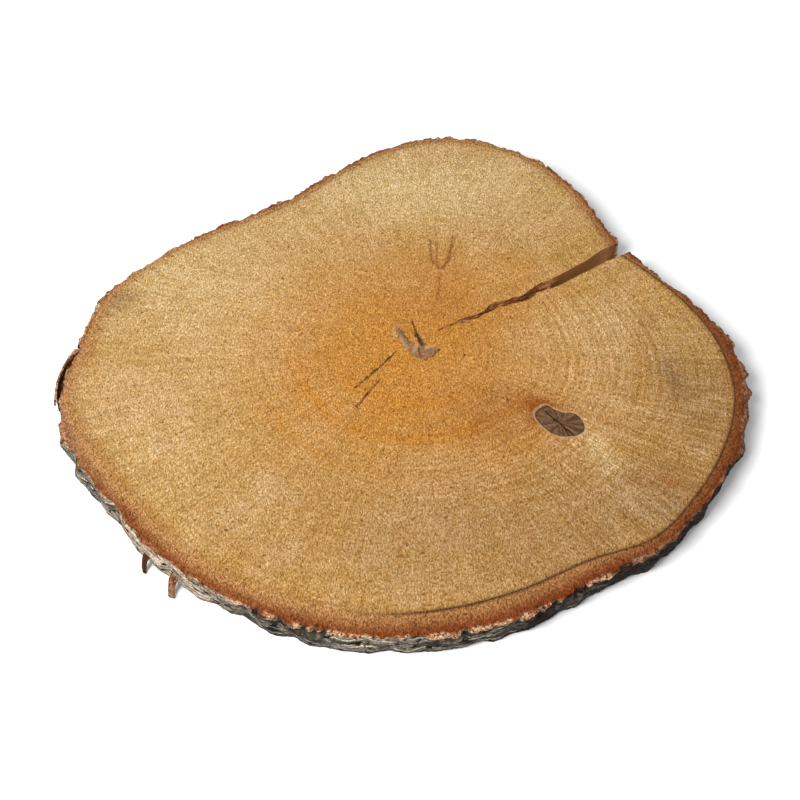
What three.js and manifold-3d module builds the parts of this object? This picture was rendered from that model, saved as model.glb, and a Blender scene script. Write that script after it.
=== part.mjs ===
import * as THREE from 'three';
import { mergeVertices } from 'three/addons/utils/BufferGeometryUtils.js';
import Module from 'manifold-3d';

// A slice sawn across a pale-wooded trunk that keeps its bark and has dried open along one crack.
// Millimetres, +Z up. The origin lies under the pith, on the underside that the slice rests on.
// The crack opens towards +X and a little towards +Y, and the buried knot lies towards +X and -Y.

// Driving dimensions. The cut isn't quite square to the trunk, so the underside lies
// LEAN away from the upper face.
const THICKNESS = 18;
const LEAN = new THREE.Vector2(-1, 1);
const BARK_GAP = 0.3;
const COLUMNS = 300;
const CURVE_STEPS = 6;
const CLEAR = 1; // how far a cut runs past the face that it opens

// Every 12 degrees anticlockwise from +X: how far the wood reaches from the pith,
// and how thick the bark is outside it.
const WOOD_REACH = [
  173, 162, 151, 145, 157, 172, 183, 184, 172, 156,
  145, 146, 156, 170, 183, 185, 196, 188, 184, 185,
  185, 183, 182, 178, 174, 172, 181, 181, 181, 180,
];
const BARK_DEPTH = [
  8, 5, 4, 7, 7, 6, 5, 5, 6, 6,
  6, 6, 5, 4, 4, 8, 5, 12, 12, 11,
  11, 14, 14, 15, 15, 12, 7, 7, 7, 6,
];

// The drying crack: where its tip is, which way it runs, and at each distance from the tip
// how far its middle wanders to the left of a straight line and how wide it is.
const CRACK_TIP = new THREE.Vector2(12, 12);
const CRACK_DIRECTION = THREE.MathUtils.degToRad(31.4);
const CRACK_STATIONS = [
  { along: 0, middle: 0, width: 0.4 },
  { along: 14, middle: -0.6, width: 2.6 },
  { along: 28, middle: -2.4, width: 3.2 },
  { along: 40, middle: 0, width: 4.8 },
  { along: 50, middle: -2.2, width: 4.4 },
  { along: 58, middle: -3.6, width: 5 },
  { along: 70, middle: -1.6, width: 6.4 },
  { along: 80, middle: -2.8, width: 7 },
  { along: 94, middle: -1.8, width: 7 },
  { along: 108, middle: -0.8, width: 7.8 },
  { along: 121, middle: 0.8, width: 9.8 },
  { along: 170, middle: 0.4, width: 10.4 },
];

// The knot is a branch sawn through, sunk a little below the face where it shrank more.
const KNOT_EDGE = [
  [65, -51], [71, -45], [76, -48], [80, -50], [87, -51],
  [91, -58], [90, -64], [83, -67], [75, -66], [68, -59],
];
const KNOT_DEPTH = 0.8;
const KNOT_STEPS = 40;

// Narrow checks in the upper face: both ends, width in the middle and depth.
const CHECKS = [
  { from: [-13, -7], to: [-34, -32], width: 1.2, depth: 4 },
  { from: [-20, -25], to: [-33, -46], width: 1.4, depth: 4 },
  { from: [-2, 21], to: [3, 3], width: 1.2, depth: 3 },
  { from: [69, -46], to: [87, -67], width: 1.4, depth: 4 },
  { from: [70, -58], to: [81, -50], width: 0.8, depth: 2.5 },
];

// Waves that make the outer bark uneven: how many go round the trunk, how far each leans
// over the thickness, in radians, how high it is and where it starts.
const BARK_WAVES = [
  { round: 13, lean: 0.5, height: 0.45, start: 0.3 },
  { round: 29, lean: -1.2, height: 0.45, start: 1.9 },
  { round: 53, lean: 1.7, height: 0.45, start: 4.1 },
  { round: 79, lean: -2.3, height: 0.35, start: 2.6 },
];

// Lumps and chipped places of the outer bark: angle and height of the middle, how far it
// stands out or in, and its half width in degrees.
const BARK_LUMPS = [
  { at: 127, height: 15, out: 2, spread: 1.8 },
  { at: 168, height: 15, out: 3, spread: 2 },
  { at: 197, height: 15, out: 2, spread: 1.5 },
  { at: 199.8, height: 14, out: 3, spread: 1.5 },
  { at: 206, height: 9, out: 3, spread: 2.2 },
  { at: 215, height: 13, out: -2.5, spread: 1.6 },
  { at: 244, height: 5, out: -2.5, spread: 2 },
  { at: 251, height: 4, out: -2, spread: 1.6 },
  { at: 262, height: 11, out: -2.5, spread: 2.4 },
  { at: 284, height: 7, out: -2.5, spread: 2 },
  { at: 339, height: 9, out: 4, spread: 2.4 },
  { at: 345, height: 12, out: 4, spread: 2 },
  { at: 350, height: 13.5, out: 4, spread: 1.8 },
  { at: 354, height: 14.5, out: 4.5, spread: 1.8 },
];
const LUMP_HALF_HEIGHT = 5.5;

// Heights of the rows of points up the outer bark, with how far its sawn edges are rounded in.
const BARK_ROWS = [
  { height: 0, rounded: 1.8 },
  { height: 2.5, rounded: 0.7 },
  { height: 6, rounded: 0.1 },
  { height: 10.5, rounded: 0 },
  { height: 15, rounded: 0.3 },
  { height: THICKNESS, rounded: 0.6 },
];

// The strip of outer bark that has lifted off on the -X side, held at both its ends.
const FLAP = { from: 180.6, to: 192, bottom: 1, top: 17.8, lift: 2.8, sunk: 1.1, thick: 2, tip: 2.6 };

// Two torn tongues of bark that curl down to the surface: angle, reach beyond the bark and width.
// A tongue's root is sunk in the bark between two heights, and its edge hangs just clear of the surface.
const TONGUE_ROOT = { sunk: 3, top: 8, bottom: 5 };
const TONGUE_EDGE = { top: 0.6, bottom: 0.4, thick: 1.6 };
const TONGUES = [
  { at: 225.2, reach: 7, width: 6 },
  { at: 231.4, reach: 9, width: 6 },
];

const wasm = await Module();
wasm.setup();

// A closed three.js geometry as a solid that can be joined and cut.
function solidFrom(geometry) {
  const bare = geometry.clone();
  bare.deleteAttribute('normal');
  bare.deleteAttribute('uv');
  const merged = mergeVertices(bare, 1e-3);
  return new wasm.Manifold(new wasm.Mesh({
    numProp: 3,
    vertProperties: merged.attributes.position.array,
    triVerts: new Uint32Array(merged.index.array),
  }));
}

// A solid back as a three.js geometry with flat-shaded faces.
function geometryFrom(solid) {
  const mesh = solid.getMesh();
  const indexed = new THREE.BufferGeometry();
  indexed.setAttribute('position', new THREE.BufferAttribute(mesh.vertProperties, 3));
  indexed.setIndex(new THREE.BufferAttribute(mesh.triVerts, 1));
  const geometry = indexed.toNonIndexed();
  geometry.computeVertexNormals();
  return geometry;
}

// One smooth closed curve carries both lists round the trunk: x is reach, y is bark depth.
const growth = new THREE.CatmullRomCurve3(
  WOOD_REACH.map((reach, row) => new THREE.Vector3(reach, BARK_DEPTH[row], 0)),
  true,
  'catmullrom',
  0.5,
);

function growthAt(degrees) {
  const { x, y } = growth.getPoint(THREE.MathUtils.euclideanModulo(degrees / 360, 1));
  return { wood: x, bark: y };
}

function polar(degrees, reach) {
  const angle = THREE.MathUtils.degToRad(degrees);
  return new THREE.Vector2(reach * Math.cos(angle), reach * Math.sin(angle));
}

// How far the outer bark stands out of its smooth outline at an angle and a height.
function barkRelief(degrees, height) {
  const angle = THREE.MathUtils.degToRad(degrees);
  let out = 0;
  for (const wave of BARK_WAVES) {
    out += wave.height * Math.sin(wave.round * angle + wave.lean * height / THICKNESS + wave.start);
  }
  for (const lump of BARK_LUMPS) {
    const sideways = (degrees - lump.at) / lump.spread;
    const upwards = (height - lump.height) / LUMP_HALF_HEIGHT;
    out += lump.out * Math.exp(-sideways * sideways - upwards * upwards);
  }
  return out;
}

// A plan outline turned into a solid between two heights.
function prism(shape, bottom, top) {
  const settings = { depth: top - bottom, bevelEnabled: false, curveSegments: CURVE_STEPS };
  return solidFrom(new THREE.ExtrudeGeometry(shape, settings).translate(0, 0, bottom));
}

// The slot that the crack leaves, cut right through wood and bark.
function crackSlot() {
  const centreLine = (station, side) => {
    const offset = station.middle + side * station.width / 2;
    return new THREE.Vector2(station.along, offset)
      .rotateAround(new THREE.Vector2(), CRACK_DIRECTION)
      .add(CRACK_TIP);
  };
  const near = CRACK_STATIONS.map((station) => centreLine(station, -1));
  const far = CRACK_STATIONS.map((station) => centreLine(station, 1));
  return prism(new THREE.Shape([...near, ...far.reverse()]), -CLEAR, THICKNESS + CLEAR);
}

// A check: a lens in plan, pointed at both ends, sunk straight down from the upper face.
function checkCut({ from, to, width, depth }) {
  const start = new THREE.Vector2(...from);
  const end = new THREE.Vector2(...to);
  const middle = start.clone().lerp(end, 0.5);
  const across = end.clone().sub(start).rotateAround(new THREE.Vector2(), Math.PI / 2).setLength(width);
  const lens = new THREE.Shape();
  lens.moveTo(start.x, start.y);
  lens.quadraticCurveTo(middle.x - across.x, middle.y - across.y, end.x, end.y);
  lens.quadraticCurveTo(middle.x + across.x, middle.y + across.y, start.x, start.y);
  return prism(lens, THICKNESS - depth, THICKNESS + CLEAR);
}

function knotCut() {
  const edge = new THREE.CatmullRomCurve3(
    KNOT_EDGE.map(([x, y]) => new THREE.Vector3(x, y, 0)),
    true,
    'centripetal',
  );
  const outline = new THREE.Shape(edge.getPoints(KNOT_STEPS).slice(1));
  return prism(outline, THICKNESS - KNOT_DEPTH, THICKNESS + CLEAR);
}

function woodSolid() {
  const outline = [];
  for (let column = 0; column < COLUMNS; column += 1) {
    const degrees = 360 * column / COLUMNS;
    outline.push(polar(degrees, growthAt(degrees).wood));
  }
  const cuts = [crackSlot(), knotCut(), ...CHECKS.map(checkCut)];
  return cuts.reduce((disc, cut) => disc.subtract(cut), prism(new THREE.Shape(outline), 0, THICKNESS));
}

// The bark before it cracks: a plain ring turned round the pith, from RING to RING + 1,
// whose points are then moved out to the trunk's own outline.
const RING = 10;
function barkRing() {
  const profile = [
    new THREE.Vector2(RING, 0),
    ...BARK_ROWS.map((row) => new THREE.Vector2(RING + 1, row.height)),
    new THREE.Vector2(RING, THICKNESS),
    new THREE.Vector2(RING, 0),
  ];
  const geometry = new THREE.LatheGeometry(profile, COLUMNS).rotateX(Math.PI / 2);
  const points = geometry.attributes.position;
  for (let index = 0; index < points.count; index += 1) {
    const turned = new THREE.Vector2(points.getX(index), points.getY(index));
    const column = Math.round(COLUMNS * turned.angle() / (2 * Math.PI)) % COLUMNS;
    const degrees = 360 * column / COLUMNS;
    const height = points.getZ(index);
    const { wood, bark } = growthAt(degrees);
    let reach = wood + BARK_GAP;
    if (turned.length() > RING + 0.5) {
      const row = BARK_ROWS.reduce((best, each) => (
        Math.abs(each.height - height) < Math.abs(best.height - height) ? each : best));
      reach += bark + barkRelief(degrees, height) - row.rounded;
    }
    const place = polar(degrees, reach);
    points.setXY(index, place.x, place.y);
  }
  return solidFrom(geometry);
}

// A long flat box bent round the trunk: its ends sink into the bark and its middle lifts off.
function liftedFlap() {
  const geometry = new THREE.BoxGeometry(1, 1, 1, 12, 1, 2).translate(0.5, 0.5, 0.5);
  const points = geometry.attributes.position;
  for (let index = 0; index < points.count; index += 1) {
    const share = points.getX(index);
    const degrees = THREE.MathUtils.lerp(FLAP.to, FLAP.from, share);
    const { wood, bark } = growthAt(degrees);
    const inner = wood + BARK_GAP + bark + FLAP.lift * Math.sin(Math.PI * share) - FLAP.sunk;
    const thick = FLAP.thick + FLAP.tip * (1 - share) ** 4;
    const place = polar(degrees, inner + thick * points.getY(index));
    const height = THREE.MathUtils.lerp(FLAP.bottom, FLAP.top, points.getZ(index));
    points.setXYZ(index, place.x, place.y, height);
  }
  return solidFrom(geometry);
}

// A torn tongue: its side view curls out and down, and is as wide as the tongue.
function tornTongue({ at, reach, width }) {
  const { wood, bark } = growthAt(at);
  const side = new THREE.Shape();
  side.moveTo(-TONGUE_ROOT.sunk, TONGUE_ROOT.top);
  side.quadraticCurveTo(0.6 * reach, 0.8 * TONGUE_ROOT.top, reach, TONGUE_EDGE.top);
  side.lineTo(reach - TONGUE_EDGE.thick, TONGUE_EDGE.bottom);
  side.quadraticCurveTo(0.3 * reach, 0.9 * TONGUE_ROOT.bottom, -TONGUE_ROOT.sunk, TONGUE_ROOT.bottom);
  const settings = { depth: width, bevelEnabled: false, curveSegments: CURVE_STEPS };
  const geometry = new THREE.ExtrudeGeometry(side, settings)
    .translate(0, 0, -width / 2)
    .rotateX(Math.PI / 2)
    .translate(wood + bark, 0, 0)
    .rotateZ(THREE.MathUtils.degToRad(at));
  return solidFrom(geometry);
}

function barkSolid() {
  const pieces = [liftedFlap(), ...TONGUES.map(tornTongue)];
  return pieces.reduce((whole, piece) => whole.add(piece), barkRing()).subtract(crackSlot());
}

// Leans a finished solid: the upper face stays, and what lies deeper moves further over.
function leaning(geometry) {
  const lean = new THREE.Matrix4().set(
    1, 0, -LEAN.x / THICKNESS, LEAN.x,
    0, 1, -LEAN.y / THICKNESS, LEAN.y,
    0, 0, 1, 0,
    0, 0, 0, 1,
  );
  return geometry.applyMatrix4(lean);
}

function namedMesh(name, solid, look) {
  const mesh = new THREE.Mesh(leaning(geometryFrom(solid)), new THREE.MeshStandardMaterial(look));
  mesh.name = name;
  return mesh;
}

const slice = new THREE.Group();
slice.name = 'wood_slice';
slice.add(namedMesh('wood', woodSolid(), { color: 0xc8a064, roughness: 0.85, metalness: 0 }));
slice.add(namedMesh('bark', barkSolid(), { color: 0x74655a, roughness: 0.95, metalness: 0 }));

export default slice;
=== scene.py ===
# %% [markdown]
# A slice sawn across a pale trunk, lying flat. The solid frame has two nodes, the wood and the
# bark that goes round it. Here each gets a finer surface of the same form, made as numpy grids,
# and the small torn pieces that hang on the bark are added. The lengths of the slice are in
# millimetres about the pith, +X right, +Y back and +Z up, and become metres in the last step
# of each mesh.

# %% Load the frame
import itertools
import math

import bpy
import numpy as np
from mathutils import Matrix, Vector


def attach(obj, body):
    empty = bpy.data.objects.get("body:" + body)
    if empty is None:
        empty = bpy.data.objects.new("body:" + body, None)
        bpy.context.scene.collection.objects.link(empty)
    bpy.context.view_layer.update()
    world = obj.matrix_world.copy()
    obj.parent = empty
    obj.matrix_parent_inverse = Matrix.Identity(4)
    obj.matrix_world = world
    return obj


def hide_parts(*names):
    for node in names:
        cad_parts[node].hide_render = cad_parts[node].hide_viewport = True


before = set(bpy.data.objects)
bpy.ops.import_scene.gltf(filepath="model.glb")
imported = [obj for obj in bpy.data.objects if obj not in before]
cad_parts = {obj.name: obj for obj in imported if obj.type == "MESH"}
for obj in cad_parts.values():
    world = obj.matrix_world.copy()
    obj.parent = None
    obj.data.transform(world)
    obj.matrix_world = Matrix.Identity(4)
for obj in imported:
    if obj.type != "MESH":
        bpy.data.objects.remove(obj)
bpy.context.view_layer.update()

# %% [markdown]
# The camera stands in front of the slice and looks down at about 48 degrees, far enough away
# that the back edge is only a little smaller than the front edge.

# %% Camera
MM = 0.001
CAMERA_PLACE = Vector((-9.1, -595.9, 645.1)) * MM
CAMERA_AIM = Vector((-9.1, -41.9, 19.0)) * MM
LENS, SENSOR = 68.31, 36.0

camera_data = bpy.data.cameras.new("camera")
camera_data.lens = LENS
camera_data.sensor_width = SENSOR
camera = bpy.data.objects.new("camera", camera_data)
camera.location = CAMERA_PLACE
camera.rotation_euler = (CAMERA_AIM - CAMERA_PLACE).to_track_quat("-Z", "Y").to_euler()
bpy.context.scene.collection.objects.link(camera)
bpy.context.scene.camera = camera
print("camera tilt, degrees:", round(math.degrees(camera.rotation_euler.x), 1))

# %% [markdown]
# A large soft box stands at the front left, high up, so the left of the face is a little
# brighter than the right, and an even pale surround fills the shadows. The floor is lit past
# white, so only the soft shadow at the back right shows on it. These lengths are in metres.

# %% Light and floor
SOFT_BOX_PLACE = Vector((-0.90, -0.92, 1.28))
SOFT_BOX_SIZE = 0.9
SOFT_BOX_POWER = 44
SURROUND_STRENGTH = 0.54
FLOOR_HALF, FLOOR_DROP = 3.0, 0.0002

light_data = bpy.data.lights.new("soft_box", "AREA")
light_data.energy = SOFT_BOX_POWER
light_data.size = SOFT_BOX_SIZE
light = bpy.data.objects.new("soft_box", light_data)
light.location = SOFT_BOX_PLACE
light.rotation_euler = SOFT_BOX_PLACE.to_track_quat("Z", "Y").to_euler()
bpy.context.scene.collection.objects.link(light)

world = bpy.data.worlds.new("pale_surround")
world.use_nodes = True
world.node_tree.nodes["Background"].inputs["Color"].default_value = (1.0, 1.0, 1.0, 1.0)
world.node_tree.nodes["Background"].inputs["Strength"].default_value = SURROUND_STRENGTH
bpy.context.scene.world = world
bpy.context.scene.view_settings.view_transform = "Standard"

floor_data = bpy.data.meshes.new("floor")
floor_corners = [(x * FLOOR_HALF, y * FLOOR_HALF, 0) for x, y in ((-1, -1), (1, -1), (1, 1), (-1, 1))]
floor_data.from_pydata(floor_corners, [], [(0, 1, 2, 3)])
floor = bpy.data.objects.new("floor", floor_data)
floor.location.z = -FLOOR_DROP
bpy.context.scene.collection.objects.link(floor)
print("light stands at, metres:", tuple(SOFT_BOX_PLACE), "floor half width:", FLOOR_HALF)

# %% [markdown]
# Every shape below is a grid of points worked out in one go. These helpers turn the arrays
# into a mesh: loops of points are joined by faces, points that fall together are made one, and
# the arrays go into Blender whole, which takes well under a second for a hundred thousand points.

# %% From arrays to a mesh
def skin(loops):
    """Faces between each loop of points and the next.

    Loops of the same length are joined by four-sided faces. Where one loop has half the steps
    of the other, three triangles fill each of its steps, and a loop of one point is a pole.
    Returns all the points and a list of face arrays.
    """
    starts = np.cumsum([0] + [len(loop) for loop in loops])
    ids = [np.arange(start, start + len(loop)) for start, loop in zip(starts, loops)]
    faces = []
    for here, there in itertools.pairwise(ids):
        fewer, more = (here, there) if len(here) < len(there) else (there, here)
        flip = 1 if fewer is here else -1
        if len(here) == len(there):
            faces.append(np.stack([here[:-1], there[:-1], there[1:], here[1:]], axis=1))
        elif len(fewer) == 1:
            pole = np.full(len(more) - 1, fewer[0])
            faces.append(np.stack([pole, more[:-1], more[1:]], axis=1)[:, ::flip])
        else:
            first, middle, last = more[:-2:2], more[1:-1:2], more[2::2]
            left, right = fewer[:-1], fewer[1:]
            faces += [
                np.stack([left, first, middle], axis=1)[:, ::flip],
                np.stack([left, middle, right], axis=1)[:, ::flip],
                np.stack([right, middle, last], axis=1)[:, ::flip],
            ]
    return np.concatenate([np.asarray(loop, float) for loop in loops]), faces


def shell(outer, inner):
    """A thin closed sheet between two grids of points, as patches for one mesh: first its
    outer side, then its back with both long edges, then its two ends."""
    backs = [np.concatenate([a[-1:], b[::-1], a[:1]]) for a, b in zip(outer, inner)]
    return [skin(list(outer)), skin(backs), skin([inner[0], outer[0]]), skin([outer[-1], inner[-1]])]


def spindles(paths, sides, half_width, half_thick, segments=4):
    """Many small closed pieces at once, each an oval section carried along its own path.

    paths has a row of places for each piece and sides the way its width lies. The half sizes
    are nothing at both ends, which closes it. A point is the path's place, plus the width
    times cos(turn) along the side, plus the thickness times sin(turn) along the normal.
    """
    count, rows, _ = paths.shape
    sides = np.broadcast_to(sides, paths.shape)
    normals = np.cross(np.gradient(paths, axis=1), sides)
    normals /= np.maximum(np.linalg.norm(normals, axis=-1, keepdims=True), 1e-9)
    turn = np.linspace(0, 2 * math.pi, segments + 1)[:, None]
    points = (paths[:, :, None]
              + sides[:, :, None] * half_width[..., None, None] * np.cos(turn)
              + normals[:, :, None] * half_thick[..., None, None] * np.sin(turn))
    ids = np.arange(rows * (segments + 1)).reshape(rows, segments + 1)
    quads = np.stack([ids[:-1, :-1], ids[1:, :-1], ids[1:, 1:], ids[:-1, 1:]], axis=-1)
    starts = np.arange(count)[:, None, None] * ids.size
    return points.reshape(-1, 3), [(quads.reshape(-1, 4) + starts).reshape(-1, 4)]


def weld(points, faces, grain=1e-3):
    """Makes points that agree to a thousandth of a millimetre one, and drops faces with no area."""
    keys = np.round(points / grain).astype(np.int64)
    _, first, same = np.unique(keys, axis=0, return_index=True, return_inverse=True)
    same = same.reshape(-1)
    whole = []
    for face, kind in faces:
        corners = same[face]
        repeats = corners == np.roll(corners, -1, axis=1)
        count = repeats.sum(axis=1)
        whole.append((corners[count == 0], kind))
        if corners.shape[1] == 4:
            pinched = corners[count == 1]
            whole.append((pinched[~repeats[count == 1]].reshape(-1, 3), kind))
    return points[first], [(face, kind) for face, kind in whole if len(face)]


def mesh_piece(name, patches, materials, crease=50):
    """One mesh object from patches of (points, faces, material number), in millimetres."""
    points, faces, start = [], [], 0
    for patch_points, patch_faces, kind in patches:
        points.append(patch_points)
        faces += [(face + start, kind) for face in patch_faces]
        start += len(patch_points)
    points, faces = weld(np.concatenate(points), faces)
    sizes = np.concatenate([np.full(len(face), face.shape[1]) for face, _ in faces])
    data = bpy.data.meshes.new(name)
    data.vertices.add(len(points))
    data.vertices.foreach_set("co", (points * MM).astype(np.float32).ravel())
    data.loops.add(int(sizes.sum()))
    data.loops.foreach_set("vertex_index", np.concatenate([face.ravel() for face, _ in faces]))
    data.polygons.add(len(sizes))
    data.polygons.foreach_set("loop_start", np.concatenate([[0], np.cumsum(sizes)[:-1]]))
    data.polygons.foreach_set(
        "material_index", np.concatenate([np.full(len(face), kind) for face, kind in faces]))
    data.update(calc_edges=True)
    data.validate()
    for material in materials:
        data.materials.append(material)
    data.shade_smooth()
    data.set_sharp_from_angle(angle=math.radians(crease))
    piece = bpy.data.objects.new(name, data)
    bpy.context.scene.collection.objects.link(piece)
    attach(piece, "root")
    print(name, "points", len(points), "triangles", int((sizes - 2).sum()))
    return piece


def points_of(piece):
    """A piece's points in millimetres, as an array with one row each."""
    flat = np.empty(3 * len(piece.data.vertices), np.float32)
    piece.data.vertices.foreach_get("co", flat)
    return flat.reshape(-1, 3).astype(float) / MM


def keep_values(piece, **values):
    """Stores one number a point under each name, for the materials to read."""
    for name, numbers in values.items():
        layer = piece.data.attributes.new(name, "FLOAT", "POINT")
        numbers = np.broadcast_to(np.asarray(numbers, np.float32), len(piece.data.vertices))
        layer.data.foreach_set("value", np.ascontiguousarray(numbers))


# %% [markdown]
# Wood is uneven at every scale. One kind of smooth random number, laid on a lattice, gives all
# the unevenness: torn fibres, plates of bark and the fuzz of the saw only differ in cell size.

# %% Smooth random numbers
LATTICE = 64
CRACK_DEGREES = 34


def uneven(places, cell, seed):
    """Smooth random numbers from -1 to 1.

    Each corner of a lattice with cells of `cell` millimetres holds a random number, and a
    point takes those of the corners round it, blended with t*t*(3 - 2*t) along each axis.
    """
    numbers = np.random.default_rng(seed).uniform(-1, 1, LATTICE ** 3)
    scaled = np.asarray(places, float) / cell
    low = np.floor(scaled).astype(int)
    part = scaled - low
    part = part * part * (3 - 2 * part)
    total = np.zeros(scaled.shape[:-1])
    for corner in itertools.product((0, 1), repeat=3):
        at = (low + corner) % LATTICE
        x, y, z = (part[..., k] if corner[k] else 1 - part[..., k] for k in range(3))
        total += numbers[(at[..., 0] * LATTICE + at[..., 1]) * LATTICE + at[..., 2]] * x * y * z
    return total


def smooth_step(values, low, high):
    """0 below low, 1 above high, and 3t*t - 2t*t*t between them."""
    share = np.clip((np.asarray(values, float) - low) / (high - low), 0, 1)
    return share * share * (3 - 2 * share)


def arc(degrees, start, end, soft=6.0):
    """1 between two angles round the trunk, fading within soft degrees of both ends."""
    return (smooth_step(degrees, start - soft, start + soft)
            * (1 - smooth_step(degrees, end - soft, end + soft)))


def past_crack(degrees):
    """The same angles written as 34 to 394, so that they jump in the crack and nowhere else."""
    return (degrees - CRACK_DEGREES) % 360 + CRACK_DEGREES


def swelling(along):
    """A half circle over 0 to 1: sqrt(1 - (2*along - 1)^2), nothing at both ends."""
    return np.sqrt(np.clip(1 - (2 * along - 1) ** 2, 0, 1))


print("uneven at the pith:", round(float(uneven(np.zeros(3), 5.0, 1)), 3))

# %% [markdown]
# The trunk grew unevenly, so its outline is given as reach from the pith every 12 degrees, with
# the bark's depth outside it, and one smooth closed curve runs through both. These are the same
# values as in the solid.

# %% Outline of the trunk
THICKNESS = 18.0
TRUNK_RADIUS = 190
LEAN = np.array([-1.0, 1.0])
SEAM = 0.06
ROW_STEP = 12
WOOD_REACH = np.array([
    173, 162, 151, 145, 157, 172, 183, 184, 172, 156,
    145, 146, 156, 170, 183, 185, 196, 188, 184, 185,
    185, 183, 182, 178, 174, 172, 181, 181, 181, 180], float)
BARK_DEPTH = np.array([
    8, 5, 4, 7, 7, 6, 5, 5, 6, 6,
    6, 6, 5, 4, 4, 8, 5, 12, 12, 11,
    11, 14, 14, 15, 15, 12, 7, 7, 7, 6], float)


def closed_curve(rows, position):
    """A closed curve through evenly spaced rows: each stretch is the cubic whose slope at a
    row is half the step between the rows on either side of it."""
    index = np.floor(position).astype(int)
    t = position - index
    if rows.ndim > 1:
        t = t[:, None]
    before, here, after, later = (rows[(index + shift) % len(rows)] for shift in (-1, 0, 1, 2))
    return 0.5 * (2 * here + (after - before) * t
                  + (2 * before - 5 * here + 4 * after - later) * t ** 2
                  + (3 * here - before - 3 * after + later) * t ** 3)


def wood_reach(degrees):
    """How far the wood reaches from the pith at each angle."""
    return closed_curve(WOOD_REACH, np.asarray(degrees, float) / ROW_STEP)


def bark_depth(degrees):
    """How far the bark reaches past the wood at each angle."""
    return closed_curve(BARK_DEPTH, np.asarray(degrees, float) / ROW_STEP)


def polar(degrees, reach):
    """Plan places from angles and reaches: reach times (cos, sin)."""
    angle = np.radians(degrees)
    return np.stack([reach * np.cos(angle), reach * np.sin(angle)], axis=-1)


def leaning(plan, height):
    """Points from plan and height, moved over by LEAN times their depth below the face."""
    height = np.asarray(height, float)[..., None]
    return np.concatenate([plan + LEAN * (1 - height / THICKNESS), height], axis=-1)


def upright(points):
    """The plan place of points with the lean taken out again, their angle and their reach."""
    plan = points[:, :2] - LEAN * (1 - points[:, 2:] / THICKNESS)
    return plan, np.degrees(np.arctan2(plan[:, 1], plan[:, 0])) % 360, np.hypot(*plan.T)


print("wood reach at the front, mm:", round(float(wood_reach(270.0)), 1))

# %% [markdown]
# As the slice dried it shrank most round the rings, and opened along one ray. The crack is
# described by stations along that ray. Its two sides become two angles for each reach, so every
# ring of points can simply run from the far side round to the near side.

# %% The drying crack
CRACK_TIP = np.array([12.0, 12.0])
CRACK_DIRECTION = math.radians(31.4)
CRACK_STATIONS = np.array([
    (0, 0, 0), (2.5, -0.1, 1.4), (14, -0.6, 2.4), (28, -2.4, 3.0), (40, 0, 4.4),
    (50, -2.2, 4.4), (58, -3.6, 5), (70, -1.6, 6.4), (80, -2.8, 7), (94, -1.8, 7),
    (108, -0.8, 7.8), (121, 0.8, 9.8), (170, 0.4, 10.4)])
TIP_REACH = float(np.hypot(*CRACK_TIP))
TORN_FROM, TORN_TO, TORN_FADE = 24, 104, 14
TORN_DEPTH, SMOOTH_DEPTH = 1.0, 0.15
MEAN_REACH = 175.0


def crack_side(reach, height, side, rough=True):
    """Angle of one side of the crack: side is 1 for the far side and -1 for the near one.

    The side's stations become angle against reach. Fibres that run up and down the trunk
    make it uneven, most where the wood tore near the pith.
    """
    along, middle, width = CRACK_STATIONS.T
    offset = middle + side * width / 2
    x = CRACK_TIP[0] + along * math.cos(CRACK_DIRECTION) - offset * math.sin(CRACK_DIRECTION)
    y = CRACK_TIP[1] + along * math.sin(CRACK_DIRECTION) + offset * math.cos(CRACK_DIRECTION)
    degrees = np.interp(reach, np.hypot(x, y), np.degrees(np.arctan2(y, x)))
    if not rough:
        return degrees
    reach, height = np.broadcast_arrays(np.asarray(reach, float), height)
    opened = smooth_step(reach, TIP_REACH, TORN_FROM)
    torn = opened * (1 - smooth_step(reach, TORN_TO - TORN_FADE, TORN_TO))
    places = np.stack([reach, np.full(reach.shape, 7.0 * side), height], axis=-1)
    fibres = 0.8 * uneven(places, (7, 1, 2.2), 11) + 0.7 * uneven(places, (3, 1, 5), 12)
    depth = TORN_DEPTH * torn + SMOOTH_DEPTH * opened
    return degrees - side * np.degrees(np.clip(fibres, -0.6, 2) * depth / np.maximum(reach, 1))


def round_from_crack(share, reach, height, rough=True):
    """Angle of the points a share of the way round, from the far side to the near side."""
    far = crack_side(reach, height, 1, rough)
    near = crack_side(reach, height, -1, rough) + 360
    return far + share * (near - far)


def rim_of(share, height, smooth_reach, reach_at):
    """Angle and reach where each column meets an outline. The angle depends a little on the
    reach, so a few rounds with the smooth outline settle the pair before the rough one."""
    reach = np.full(np.shape(share), MEAN_REACH)
    for _ in range(3):
        reach = smooth_reach(round_from_crack(share, reach, height, rough=False))
    reach = reach_at(round_from_crack(share, reach, height, rough=False))
    return round_from_crack(share, reach, height), reach


print("crack at the rim, degrees:", round(float(crack_side(155.0, 18.0, -1)), 1),
      "to", round(float(crack_side(155.0, 18.0, 1)), 1))

# %% [markdown]
# The knot is a branch sawn through. It shrank more than the wood round it, so it lies a little
# deeper. Its kidney outline is a closed curve, and a point's share of the way out to that
# outline drives both the height here and the knot's colours later.

# %% The knot and the checks
KNOT_EDGE = np.array([
    (65, -51), (71, -45), (76, -48), (80, -50), (87, -51),
    (91, -58), (90, -64), (83, -67), (75, -66), (68, -59)], float)
KNOT_DEPTH = 0.8
KNOT_CENTRE = np.array([78.5, -57.0])
CHECKS = [
    ((-13, -7), (-34, -32), 0.9, 1.8), ((-20, -25), (-33, -46), 0.8, 1.4),
    ((-2, 21), (3, 3), 0.9, 1.0), ((71, -48.5), (86, -66), 1.0, 2.0),
    ((70, -58), (81, -50), 0.8, 1.0)]


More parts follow.
